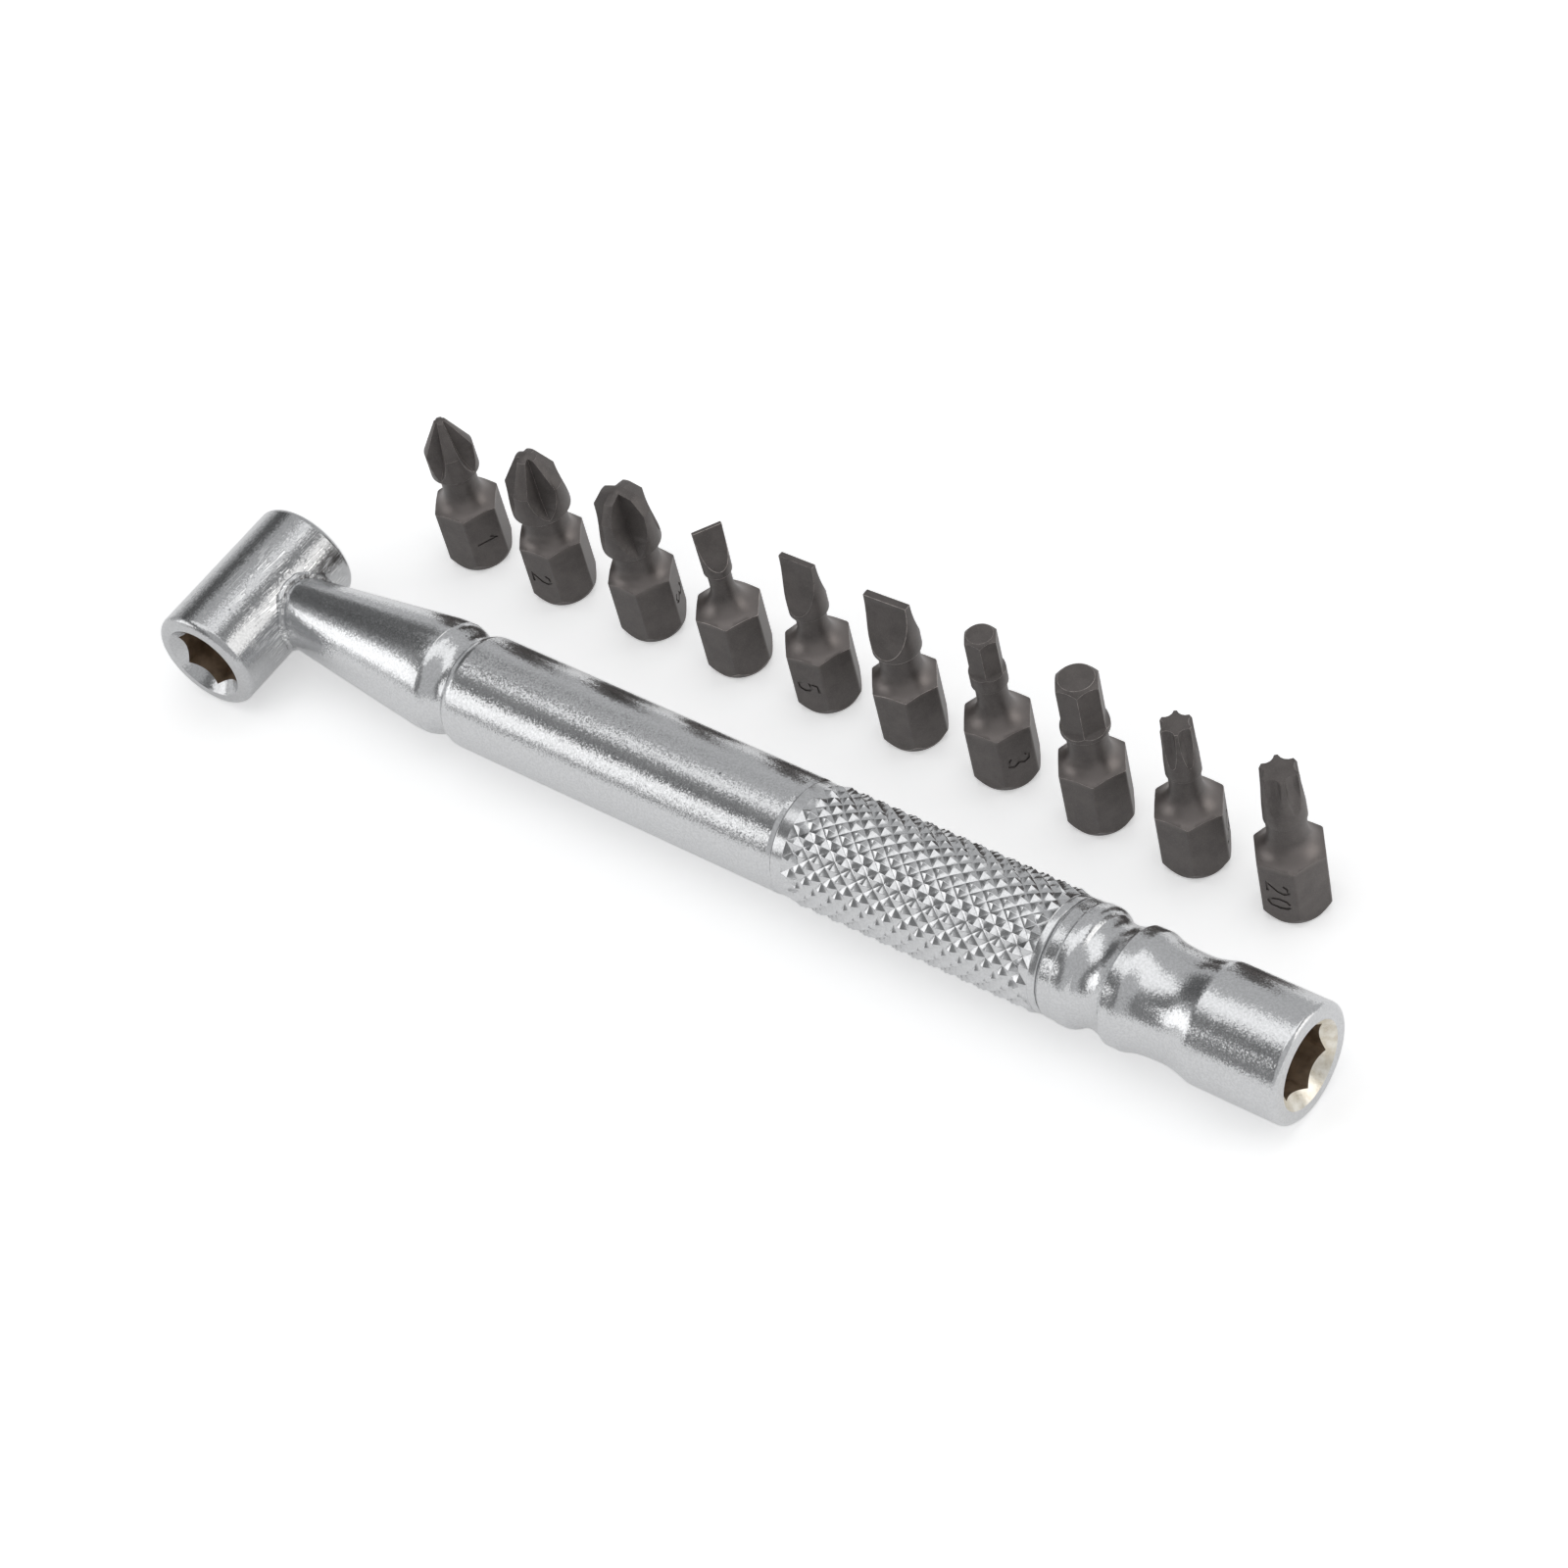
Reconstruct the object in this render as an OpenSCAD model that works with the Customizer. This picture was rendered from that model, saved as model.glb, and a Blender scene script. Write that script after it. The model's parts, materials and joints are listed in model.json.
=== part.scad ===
// Offset screwdriver: a knurled bar with a hexagon socket in its nose and
// another in a short cross tube, and ten short bits standing in a row behind it.
// Millimetres. X runs along the handle from cross tube to nose, Z is up, and
// the origin is under the middle of everything, on the floor.

/* [Fits] */
// Hexagon across flats, shared by every bit and both sockets
hex_af = 6.35; // [6.2:0.01:6.5]
// Extra width of a socket over the bit's hexagon
socket_play = 0.1; // [0.04:0.01:0.2]
// Gap left between pieces that are pressed together
fit_gap = 0.02; // [0.01:0.01:0.05]
// Radius of the coned mouth of both sockets
mouth_r = 4.35; // [4.1:0.05:4.8]

/* [Handle] */
// Radius of the smooth barrel
barrel_r = 5.87; // [5.6:0.01:6.2]
// Length of the smooth barrel, groove to grip
barrel_len = 42; // [30:0.1:60]
// Rounding at the groove end of the barrel
barrel_round = 1.8; // [1.2:0.1:2.2]
// Chamfer of the barrel where it meets the grip
barrel_chamfer = 0.22; // [0.1:0.02:0.4]
// Radius at the bottom of the groove between neck and barrel
groove_r = 4.98; // [4.8:0.01:5.3]
// Width of the groove's flat bottom
groove_w = 0.4; // [0.2:0.1:1]
// Length of the bead's rounded flank, down to the groove
bead_len = 2.4; // [1.6:0.1:3.2]
// Width of the bead's crown, ahead of its flank
bead_crown = 1.4; // [0.8:0.1:2.4]
// Largest radius of the bead
bead_r = 5.9; // [5.6:0.01:6.1]
// Height of the fine step at the back of the bead
bead_step = 0.05; // [0.02:0.01:0.1]
// Length from the cross tube's axis to the bead's step
neck_len = 25.8; // [18:0.1:40]
// Radius of the neck where it meets the cross tube
neck_r = 3.71; // [3.2:0.01:4.4]
// Radius of the spigot that carries grip and nose
spigot_r = 3.9; // [3.4:0.1:4.2]
// Length of the spigot that goes into the nose
spigot_grip = 4.5; // [3:0.1:6]

/* [Grip] */
// Length of the knurled sleeve with its plain bands
sleeve_len = 30.2; // [20:0.1:45]
// Radius over the knurl's points
knurl_r = 6.1; // [5.9:0.01:6.4]
// Depth of the knurl's grooves
knurl_depth = 0.46; // [0.2:0.01:0.6]
// Distance between knurl points along the grip
knurl_pitch = 1.77; // [1.4:0.01:2.4]
// Radius of the plain bands beside the knurl
band_r = 5.78; // [5.7:0.01:5.84]
// Step up from the plain bands to the ends of the knurl
knurl_lip = 0.06; // [0.05:0.01:0.1]
// Width of the plain band towards the barrel
front_band = 1.4; // [1:0.1:3]
// Width of the plain band towards the nose
back_band = 0.8; // [0.6:0.1:3]
// Rounding of the bands at the seams
band_round = 0.2; // [0.1:0.02:0.3]

/* [Nose] */
// Length of the nose piece
nose_len = 25.4; // [23:0.1:34]
// Radius of the nose cylinder
nose_r = 5.92; // [5.6:0.01:6.2]
// Rounding round the nose's mouth
nose_round = 0.55; // [0.2:0.05:0.8]
// Depth of the nose's hexagon socket
nose_depth = 9.6; // [8:0.1:11]

/* [Cross tube] */
// Radius of the cross tube
cross_r = 5.85; // [5.5:0.01:6.1]
// Length of the tube on the socket side of the handle's axis
cross_near = 10.6; // [10:0.1:14]
// Length of the tube on the closed side of the handle's axis
cross_far = 7.15; // [6:0.05:12]
// Rounding of the tube's edges
cross_round = 0.8; // [0.3:0.05:1.2]
// Depth of the tube's hexagon socket
cross_depth = 9; // [8:0.1:10]
// Angle by which the welded tube leans from square
cross_lean = 2.8; // [0:0.1:5]
// Radius of the weld bead laid along the joint of neck and tube
weld_r = 0.5; // [0.35:0.05:1.2]

/* [Magnets] */
// Radius of both magnets
magnet_r = 2.5; // [2:0.1:3]
// Length of both magnets
magnet_len = 2.5; // [1.5:0.1:4]

/* [Bits] */
// Height of the hexagon at its corners
shank_h = 7.5; // [6:0.1:9]
// Radius of the flat under a bit's foot
foot_r = 2.98; // [2.6:0.02:3.1]
// Height of the foot's chamfer at the corners
foot_h = 1.2; // [0.6:0.1:2]
// Height of the neck over a bit's shoulder, hidden inside each tip
shaft_z = 12.8; // [12.6:0.1:13]
// Distance between neighbouring bits
row_pitch = 11.16; // [9:0.02:16]
// Distance of the row behind the handle's axis
row_y = 19.8; // [14:0.1:40]
// Distance of the first bit from the cross tube's axis, along the handle
row_start = 11.55; // [4:0.05:30]

/* [Cross tips] */
// Heights of the small, medium and large cross bits
cross_h = [18.95, 18.95, 19.05]; // [18:0.05:25]
// Radius of the small, medium and large cross blanks
cross_tip_r = [2.55, 3.05, 3.05]; // [2.4:0.05:3.2]
// Radius at the rim of each cross tip's blunt end
cross_end_r = [0.62, 1.15, 1.9]; // [0.5:0.01:2.1]
// Slope of the blunt end, in degrees
cross_end_slope = 20; // [10:1:30]
// Height where each cross tip starts to narrow
cross_taper_z = [15.1, 15.2, 16.5]; // [15:0.1:17]
// Radius of the neck under each cross tip
cross_neck_r = [1.9, 2.35, 2.35]; // [1.8:0.05:2.4]
// Height where each cross blank ends and its neck begins
cross_foot_z = [12.1, 11.6, 11.8]; // [11.4:0.1:12.4]
// Turn of each cross tip in its shank, in degrees
cross_turns = [15, -23.5, -23.5]; // [-30:0.5:30]
// Distance of the flutes' bottoms from the axis at the end of each tip
flute_root_r = [0.4, 0.6, 0.66]; // [0.3:0.01:0.9]
// Angle at which each tip's flutes leave the axis
flute_lean = [9.5, 8.5, 3.5]; // [1:0.5:12]
// Height where the flutes' bottoms start to curve out
flute_turn_z = [15, 14.8, 15.4]; // [14:0.1:16.4]
// Radius of the wheel that grinds the flutes
flute_wheel_r = [4.6, 4.2, 4.3]; // [3.4:0.1:6]
// Opening angle of the flutes
flute_angle = 90; // [84:1:98]

/* [Slot tips] */
// Heights of the small, medium and large slot bits
slot_h = [18.35, 18.7, 18.35]; // [17.5:0.05:25]
// Radius at the end of the small, medium and large blades
slot_tip_r = [1.58, 2.02, 2.48]; // [1.4:0.01:2.8]
// Radius at the foot of each slotted blank
slot_foot_r = [1.46, 2, 2.44]; // [1.3:0.01:2.8]
// Thickness of each blade at its end
slot_tip_t = [0.4, 0.6, 0.8]; // [0.3:0.1:1.4]
// Height where the ground faces of each blade run out
slot_run_z = [13.5, 12.7, 12.3]; // [12:0.1:14]
// Height where each slotted blank ends and its neck begins
slot_foot_z = [12.6, 12.1, 11.9]; // [11.6:0.1:13]
// Radius of the neck under each blade
slot_neck_r = [1.2, 1.55, 2.05]; // [1.1:0.05:2.2]
// Turn of each blade in its own shank, in degrees
slot_turns = [115, 52, 55]; // [0:1:180]

/* [Hexagon tips] */
// Heights of the small and large hexagon bits
hex_h = [18.8, 18.9]; // [18:0.05:25]
// Across flats of the small and large hexagon tips
hex_tip_af = [3, 4]; // [2.5:0.1:4.2]
// Radius of the round collar under each hexagon tip
hex_collar_r = [1.82, 2.4]; // [1.78:0.01:2.6]
// Height where each hexagon's flats run out into its collar
hex_run_z = [14.5, 13.3]; // [13:0.1:15]
// Height where each collar ends and its neck begins
hex_foot_z = [12.4, 12.2]; // [12:0.1:13]
// Radius of the neck under each collar
hex_neck_r = [1.55, 2]; // [1.4:0.05:2.2]
// Turn of the hexagon tips in their shanks, in degrees
hex_tip_turn = 29; // [0:1:60]

/* [Star tips] */
// Heights of the small and large star bits
star_h = [18.4, 18.05]; // [17.5:0.05:25]
// Radius over the points of the small and large star tips
star_tip_r = [1.63, 1.9]; // [1.5:0.01:2.2]
// Distance of the grooves' bottoms from the axis at the end of each star tip
star_root_r = [1.12, 1.3]; // [1:0.01:1.5]
// Radius of the round wheel edge that grinds the grooves
star_edge_r = [0.85, 0.98]; // [0.6:0.01:1.1]
// Radius at the foot of each star blank
star_shaft_r = [1.72, 2.06]; // [1.65:0.01:2.4]
// Height where each star tip's grooves run out
star_run_z = [13.55, 13.3]; // [13.2:0.05:14.4]
// Height where each star shaft ends and its neck begins
star_foot_z = [12, 11.9]; // [11.6:0.1:12.6]
// Radius of the neck under each star shaft
star_neck_r = [1.55, 1.9]; // [1.4:0.05:2.2]
// Turn of the star tips in their shanks, in degrees
star_turns = [33, 34]; // [0:1:60]

/* [Hidden] */

chrome = [0.74, 0.75, 0.77];
dark_steel = [0.3, 0.29, 0.29];
magnet_grey = [0.5, 0.5, 0.52];

$fn = 96;

// Overrun of every cutting solid past the face that it opens
over = barrel_r / 10;

// Corner radius of a hexagon of a given width across flats
function corner(af) = af / sqrt(3);

// Points on a circular arc, from angle a0 to a1, both ends included
function arc(cx, cy, r, a0, a1, steps) = [
    for (i = [0:steps]) [
        cx + r * cos(a0 + (a1 - a0) * i / steps),
        cy + r * sin(a0 + (a1 - a0) * i / steps)
    ]
];

// Highest reach of a turned hexagon of unit corner radius
function reach(turn) = max([for (k = [0:5]) sin(turn + 60 * k)]);

socket_af = hex_af + socket_play;
socket_corner = corner(socket_af);
mouth_root_share = 0.9;

// Stations along the handle, measured from the cross tube's axis
crown_s = neck_len - bead_crown;
groove_s = neck_len + bead_len;
barrel_s = groove_s + groove_w;
sleeve_s = barrel_s + barrel_len;
nose_s = sleeve_s + sleeve_len;
mouth_s = nose_s + nose_len;

// Radius of the tapered neck at a station
function neck_at(s) = neck_r + (bead_r - neck_r) * (s - cross_r) / (crown_s - cross_r);

// Where each bit stands, as shares of the pitch along and across the row
row_shares = [0, 1.03, 2.09, 3.09, 4.08, 5.04, 6.02, 7.03, 8.01, 9];
wander_shares = [-0.022, -0.01, 0.008, 0.02, 0.044, 0.037, 0.044, -0.003, -0.016, -0.032];
// How far each bit is turned, in degrees
bit_turns = [-54.4, -54.5, -59.6, -56.2, -51.2, -52.7, -56.1, -55.1, -58.5, -52.9];

// Box of the whole set, so that the origin lies under its middle
low_x = -((cross_r - cross_round) * cos(cross_lean)
    + (cross_far - cross_round) * sin(cross_lean) + cross_round);
low_y = -((cross_near - cross_round) * cos(cross_lean)
    + (cross_r - cross_round) * sin(cross_lean) + cross_round);
high_y = max([
    for (i = [0:9])
        row_y + row_pitch * wander_shares[i] + corner(hex_af) * reach(bit_turns[i])
]);
shift_x = -(low_x + mouth_s) / 2;
shift_y = -(low_y + high_y) / 2;
axis_z = max(knurl_r, max(nose_r, cross_r));

// How the grinding wheels travel: angle swept by the flutes' wheel, overrun of
// the stars' wheel past its run-out, and the steps of each travel
flute_sweep = 62;
star_sweep_share = 1.2;
wheel_steps = 8;
// Chamfers of the hexagon and star tips, as shares of their widths
hex_tool_share = 0.3;
hex_chamfer_share = 0.14;
star_end_shares = [0.94, 0.14];

// Depth under the end where the stars' grooves turn straight, as a share of the chamfer
star_turn_share = 0.5;

// Puts a solid made along Z onto the handle's axis, which runs along X
module on_axis(s = 0) {
    translate([shift_x + s, shift_y, axis_z])
        rotate([0, 90, 0])
            children();
}

// Puts a solid made along Z onto the cross tube's axis, mouth at +Z
module on_cross() {
    translate([shift_x, shift_y, axis_z])
        rotate([0, 0, cross_lean])
            rotate([90, 0, 0])
                children();
}

// Hexagon socket with its coned mouth at the top and a magnet pocket below
module socket_cut(depth) {
    translate([0, 0, -depth])
        cylinder(h = depth + over, r = socket_corner, $fn = 6);
    root_r = socket_corner * mouth_root_share;
    translate([0, 0, root_r - mouth_r])
        cylinder(h = mouth_r - root_r + over, r1 = root_r, r2 = mouth_r + over);
    translate([0, 0, -depth - magnet_len])
        cylinder(h = magnet_len + over, r = magnet_r + fit_gap);
}

module magnet(depth) {
    translate([0, 0, -depth - magnet_len + fit_gap])
        cylinder(h = magnet_len - fit_gap, r = magnet_r);
}

// Plain tube body, used to trim what is welded to it
module cross_body(grow = 0) {
    translate([0, 0, -cross_far - over])
        cylinder(h = cross_far + cross_near + 2 * over, r = cross_r + grow);
}

module cross_socket() {
    color(chrome)
        on_cross()
            difference() {
                rotate_extrude()
                    polygon(concat(
                        [[0, -cross_far]],
                        arc(cross_r - cross_round, -cross_far + cross_round, cross_round, -90, 0, 6),
                        arc(cross_r - cross_round, cross_near - cross_round, cross_round, 0, 90, 6),
                        [[0, cross_near]]
                    ));
                translate([0, 0, cross_near])
                    rotate([0, 0, 30])
                        socket_cut(cross_depth);
            }
}

module cross_magnet() {
    color(magnet_grey)
        on_cross()
            translate([0, 0, cross_near])
                magnet(cross_depth);
}

// Joint line of neck and cross tube, at an angle round the neck
function joint_line(a) = [
    (sqrt(pow(cross_r, 2) - pow(neck_r * sin(a), 2)) - neck_r * cos(a) * sin(cross_lean))
        / cos(cross_lean),
    neck_r * cos(a),
    neck_r * sin(a)
];

// Radius of the weld bead, which swells and thins unevenly round the joint
function weld_at(a) = weld_r * (1 + 0.14 * sin(7 * a) + 0.1 * sin(16 * a + 30));

// Plain tapered neck, from the cross tube's axis to the bead's crown
module neck_solid() {
    rotate_extrude()
        polygon([[0, 0], [neck_at(0), 0], [bead_r, crown_s], [0, crown_s]]);
}

// Bead of weld metal in the corner between neck and cross tube
module weld_bead() {
    rings = 44;
    sides = 8;
    points = [
        for (i = [0:rings - 1])
            for (j = [0:sides - 1])
                let (a = 360 * i / rings, b = 360 * j / sides)
                    joint_line(a) + weld_at(a) * [cos(b), sin(b) * cos(a), sin(b) * sin(a)]
    ];
    faces = [
        for (i = [0:rings - 1])
            for (j = [0:sides - 1])
                let (
                    here = i * sides + j,
                    beside = i * sides + (j + 1) % sides,
                    next = (i + 1) % rings * sides
                )
                each [[here, next + j, beside], [beside, next + j, next + (j + 1) % sides]]
    ];
    color(chrome)
        difference() {
            translate([shift_x, shift_y, axis_z])
                polyhedron(points, faces, convexity = 4);
            on_cross()
                cross_body();
            on_axis()
                neck_solid();
        }
}

// Turned bar: neck, bead, groove, barrel and the spigot under the grip
module handle_bar() {
    flank = bead_r - bead_step - groove_r;
    end_turn = acos((groove_r - barrel_r + barrel_round) / barrel_round);
    color(chrome)
        difference() {
            on_axis()
                rotate_extrude()
                    polygon(concat(
                        [[0, 0], [neck_at(0), 0], [bead_r, crown_s], [bead_r, neck_len - bead_step]],
                        [
                            for (i = [0:8]) [
                                groove_r + flank * (1 + cos(180 * i / 8)) / 2,
                                neck_len + bead_len * i / 8
                            ]
                        ],
                        arc(
                            barrel_r - barrel_round, barrel_s + barrel_round * sin(end_turn),
                            barrel_round, -end_turn, 0, 6
                        ),
                        [[barrel_r, sleeve_s - barrel_chamfer * 2]],
                        [[barrel_r - barrel_chamfer, sleeve_s - fit_gap]],
                        [[spigot_r, sleeve_s - fit_gap]],
                        [[spigot_r, nose_s + spigot_grip - fit_gap]],
                        [[0, nose_s + spigot_grip - fit_gap]]
                    ));
            on_cross()
                cross_body(fit_gap);
        }
}

// Rounds of the knurl: rows of points and valleys, staggered like bricks
knurl_around = 2 * round(PI * 2 * knurl_r / knurl_pitch);
knurl_space = sleeve_len - front_band - back_band;
knurl_rows = 2 * floor(knurl_space / knurl_pitch);
knurl_step = knurl_space / knurl_rows;

function knurl_radius(i, j) =
    i == 0 || i == knurl_rows ? band_r + knurl_lip
    : (i + j) % 2 == 0 ? knurl_r
    : knurl_r - knurl_depth;

// Solid rod with a diamond knurl: every cell is cut along its valley line
module knurl_rod() {
    turn = 360 / knurl_around;
    points = [
        for (i = [0:knurl_rows])
            for (j = [0:knurl_around - 1])
                [
                    knurl_radius(i, j) * cos(turn * j),
                    knurl_radius(i, j) * sin(turn * j),
                    knurl_step * i
                ]
    ];
    sides = [
        for (i = [0:knurl_rows - 1])
            for (j = [0:knurl_around - 1])
                let (
                    a = i * knurl_around + j,
                    b = i * knurl_around + (j + 1) % knurl_around,
                    c = b + knurl_around,
                    d = a + knurl_around
                )
                each (i + j) % 2 == 0
                    ? [[a, d, b], [c, b, d]]
                    : [[a, c, b], [a, d, c]]
    ];
    low = [for (j = [0:knurl_around - 1]) j];
    high = [for (j = [knurl_around - 1:-1:0]) knurl_rows * knurl_around + j];
    polyhedron(points, concat([low], [high], sides), convexity = 4);
}

module grip_sleeve() {
    knurl_end = front_band + knurl_space;
    color(chrome)
        on_axis(sleeve_s)
            difference() {
                union() {
                    rotate_extrude()
                        polygon(concat(
                            [[0, 0]],
                            arc(band_r - band_round, band_round, band_round, -90, 0, 4),
                            [[band_r, front_band + knurl_lip], [0, front_band + knurl_lip]]
                        ));
                    translate([0, 0, front_band])
                        knurl_rod();
                    rotate_extrude()
                        polygon(concat(
                            [[0, knurl_end - knurl_lip], [band_r, knurl_end - knurl_lip]],
                            arc(
                                band_r - band_round, sleeve_len - fit_gap - band_round,
                                band_round, 0, 90, 4
                            ),
                            [[0, sleeve_len - fit_gap]]
                        ));
                }
                translate([0, 0, -over])
                    cylinder(h = sleeve_len + 2 * over, r = spigot_r + fit_gap);
            }
}

// Nose outline as shares of the nose's radius and length, ring to nose cylinder
nose_outline_shares = [
    [0.95, 0], [0.985, 0.014], [0.99, 0.05], [0.992, 0.058], [1.006, 0.066],
    [1.008, 0.1], [0.993, 0.115], [0.965, 0.127], [0.92, 0.137], [0.888, 0.155],
    [0.87, 0.173], [0.866, 0.192], [0.874, 0.212], [0.9, 0.235], [0.94, 0.256],
    [0.985, 0.272], [0.988, 0.325], [0.978, 0.336], [0.945, 0.358], [0.92, 0.38],
    [0.904, 0.41], [0.895, 0.445], [0.891, 0.485], [0.897, 0.52], [0.915, 0.548],
    [0.945, 0.575], [0.978, 0.602], [0.996, 0.618], [1, 0.632]
];

module nose_socket() {
    color(chrome)
        on_axis(nose_s)
            difference() {
                rotate_extrude()
                    polygon(concat(
                        [[0, 0]],
                        [for (p = nose_outline_shares) [p[0] * nose_r, p[1] * nose_len]],
                        arc(nose_r - nose_round, nose_len - nose_round, nose_round, 0, 90, 6),
                        [[0, nose_len]]
                    ));
                translate([0, 0, nose_len])
                    socket_cut(nose_depth);
                translate([0, 0, -over])
                    cylinder(h = spigot_grip + over, r = spigot_r + fit_gap);
            }
}

module nose_magnet() {
    color(magnet_grey)
        on_axis(mouth_s)
            magnet(nose_depth);
}

// Stands a bit in its place in the row
module in_row(i) {
    translate([
        shift_x + row_start + row_pitch * row_shares[i],
        shift_y + row_y + row_pitch * wander_shares[i],
        0
    ])
        rotate([0, 0, bit_turns[i]])
            children();
}

// Hexagon shank with a coned foot, whose corners flare in to a slim neck
module shank(neck) {
    c = corner(hex_af);
    sweep = (c - neck) / (1 - cos(75));
    intersection() {
        cylinder(h = shaft_z, r = c, $fn = 6);
        rotate_extrude()
            polygon(concat(
                [[0, 0], [foot_r, 0], [c, foot_h]],
                arc(neck + sweep, shank_h + sweep * sin(75), sweep, 255, 180, 10),
                [[neck, shaft_z], [0, shaft_z]]
            ));
    }
}

// Turned blank of a tip: a short cone out of the neck, then the outline given
module blank(top, neck, r, foot_z, outline) {
    rotate_extrude()
        polygon(concat(
            [[0, shank_h], [neck, shank_h], [neck, foot_z - (r - neck)], [r, foot_z]],
            outline,
            [[0, top]]
        ));
}

// Cutter of one groove: a level section carried up a path of distances and heights
module groove_cut(section, path) {
    n = len(section);
    points = [for (p = path) for (s = section) [p[0] + s[0], s[1], p[1]]];
    ends = [[for (j = [0:n - 1]) j], [for (j = [n - 1:-1:0]) (len(path) - 1) * n + j]];
    walls = [
        for (i = [0:len(path) - 2])
            for (j = [0:n - 1])
                let (here = i * n + j, next = i * n + (j + 1) % n)
                [here, here + n, next + n, next]
    ];
    polyhedron(points, concat(ends, walls), convexity = 4);
}

// Path of a wheel that leaves the tip: out along an arc, then straight up at a lean
function wheel_path(top, root_r, turn_z, lean, wheel, sweep) = concat(
    let (
        x = root_r + (top - turn_z) * tan(lean) + wheel * cos(lean),
        z = turn_z + wheel * sin(lean)
    )
    arc(x, z, wheel, 180 + lean + sweep, 180 + lean, wheel_steps),
    [[root_r - over * tan(lean), top + over]]
);

module cross_bit(i, k) {
    top = cross_h[k];
    r = cross_tip_r[k];
    end_r = cross_end_r[k];
    deep = 2 * r;
    wide = deep * tan(flute_angle / 2);
    color(dark_steel)
        in_row(i)
            difference() {
                union() {
                    shank(cross_neck_r[k]);
                    blank(
                        top, cross_neck_r[k], r, cross_foot_z[k],
                        [[r, cross_taper_z[k]], [end_r, top - end_r * tan(cross_end_slope)]]
                    );
                }
                for (q = [0:3])
                    rotate([0, 0, 90 * q + 45 + cross_turns[k]])
                        groove_cut(
                            [[0, 0], [deep, -wide], [deep, wide]],
                            wheel_path(
                                top, flute_root_r[k], flute_turn_z[k], flute_lean[k],
                                flute_wheel_r[k], flute_sweep
                            )
                        );
            }
}

// Cylinder that grinds one face of a blade, flat at the end and curving out
module grind(top, r, t, run_z) {
    rise = r - t / 2;
    run = top - run_z;
    wheel = (pow(run, 2) + pow(rise, 2)) / (2 * rise);
    translate([t / 2 + wheel, r * 2, top])
        rotate([90, 0, 0])
            cylinder(h = r * 4, r = wheel, $fn = 180);
}

module slot_bit(i, k) {
    color(dark_steel)
        in_row(i)
            difference() {
                union() {
                    shank(slot_neck_r[k]);
                    blank(
                        slot_h[k], slot_neck_r[k], slot_foot_r[k], slot_foot_z[k],
                        [[slot_tip_r[k], slot_h[k]]]
                    );
                }
                for (q = [0, 180])
                    rotate([0, 0, slot_turns[k] + 90 + q])
                        grind(slot_h[k], slot_foot_r[k], slot_tip_t[k], slot_run_z[k]);
            }
}

// Cut for one flat of a hexagon tip, curving out where it meets the collar
module flat_cut(top, af, collar_r, run_z) {
    tool = collar_r * hex_tool_share;
    side = af / 2 + collar_r;
    translate([0, collar_r * 1.5, 0])
        rotate([90, 0, 0])
            linear_extrude(height = collar_r * 3)
                polygon(concat(
                    [[af / 2, top + over]],
                    arc(af / 2 + tool, run_z, tool, 180, 270, 5),
                    [[side, run_z - tool], [side, top + over]]
                ));
}

module hex_bit(i, k) {
    top = hex_h[k];
    tip = hex_tip_af[k];
    collar_r = hex_collar_r[k];
    end_r = corner(tip) - tip * hex_chamfer_share;
    color(dark_steel)
        in_row(i)
            difference() {
                union() {
                    shank(hex_neck_r[k]);
                    blank(
                        top, hex_neck_r[k], collar_r, hex_foot_z[k],
                        [[collar_r, top - collar_r + end_r], [end_r, top]]
                    );
                }
                for (q = [0:5])
                    rotate([0, 0, 60 * q + hex_tip_turn])
                        flat_cut(top, tip, collar_r, hex_run_z[k]);
            }
}

module star_bit(i, k) {
    top = star_h[k];
    r = star_tip_r[k];
    shaft_r = star_shaft_r[k];
    edge_r = star_edge_r[k];
    turn_z = top - r * star_end_shares[1] * star_turn_share;
    run = turn_z - star_run_z[k];
    rise = shaft_r - star_root_r[k];
    wheel = (pow(run, 2) + pow(rise, 2)) / (2 * rise);
    color(dark_steel)
        in_row(i)
            difference() {
                union() {
                    shank(star_neck_r[k]);
                    blank(
                        top, star_neck_r[k], shaft_r, star_foot_z[k],
                        [[r, top - r * star_end_shares[1]], [r * star_end_shares[0], top]]
                    );
                }
                for (q = [0:5])
                    rotate([0, 0, 60 * q + star_turns[k]])
                        groove_cut(
                            concat(arc(edge_r, 0, edge_r, 90, 270, 8), [[r, -edge_r], [r, edge_r]]),
                            wheel_path(
                                top, star_root_r[k], turn_z, 0, wheel,
                                asin(run / wheel) * star_sweep_share
                            )
                        );
            }
}

handle_bar();
grip_sleeve();
nose_socket();
cross_socket();
weld_bead();
nose_magnet();
cross_magnet();
cross_bit(0, 0);  // cross_bit_small
cross_bit(1, 1);  // cross_bit_medium
cross_bit(2, 2);  // cross_bit_large
slot_bit(3, 0);  // slot_bit_small
slot_bit(4, 1);  // slot_bit_medium
slot_bit(5, 2);  // slot_bit_large
hex_bit(6, 0);  // hex_bit_small
hex_bit(7, 1);  // hex_bit_large
star_bit(8, 0);  // star_bit_small
star_bit(9, 1);  // star_bit_large
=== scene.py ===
"""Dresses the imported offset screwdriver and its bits, and sets them in a plain studio."""

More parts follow.
